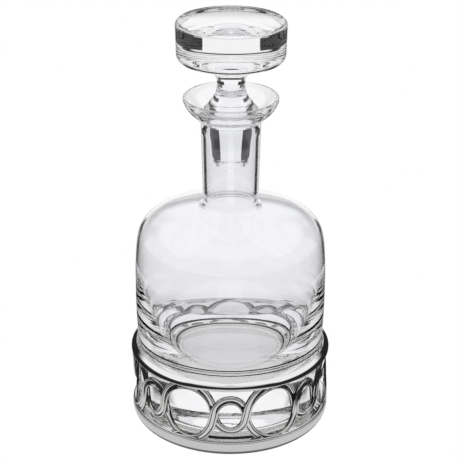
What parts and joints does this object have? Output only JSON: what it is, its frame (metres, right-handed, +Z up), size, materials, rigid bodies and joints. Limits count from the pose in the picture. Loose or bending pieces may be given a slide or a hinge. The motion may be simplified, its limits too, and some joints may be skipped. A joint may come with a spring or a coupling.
{
  "type": "decanter with gallery stand",
  "caption": "Clear glass spirit decanter with a thick disc stopper that lifts out, standing loose in a round openwork silver gallery with a woven ring frieze.",
  "frame": {"origin": "centre of the plane that the foot ring rests on", "axes": "+Z up along the axis of the bottle and stopper; -Y towards the viewer, through the middle of a small frieze ring"},
  "size_m": [0.1156, 0.1156, 0.241],
  "materials": {
    "silver_foot": "polished silver, faint satin on the foot band",
    "silver_seat": "turned silver with fine concentric lines",
    "silver_rim": "mirror polished silver",
    "silver_frieze": "polished silver, darker in the channels",
    "bottle_glass": "clear fire polished crystal",
    "stopper_glass": "clear polished crystal, ground cone"
  },
  "bodies": {
    "gallery": {"foot_ring": "silver_foot", "seat_ring": "silver_seat", "gallery_rim": "silver_rim", "frieze_strand_upper": "silver_frieze", "frieze_strand_lower": "silver_frieze"},
    "bottle": {"decanter_bottle": "bottle_glass"},
    "stopper": {"stopper": "stopper_glass"}
  },
  "joints": [
    {"name": "bottle_lift", "type": "slide", "parent": "gallery", "child": "bottle", "axis": [0, 0, 1], "range_m": [0, 0.045]},
    {"name": "stopper_lift", "type": "slide", "parent": "bottle", "child": "stopper", "axis": [0, 0, 1], "range_m": [0, 0.048]}
  ]
}
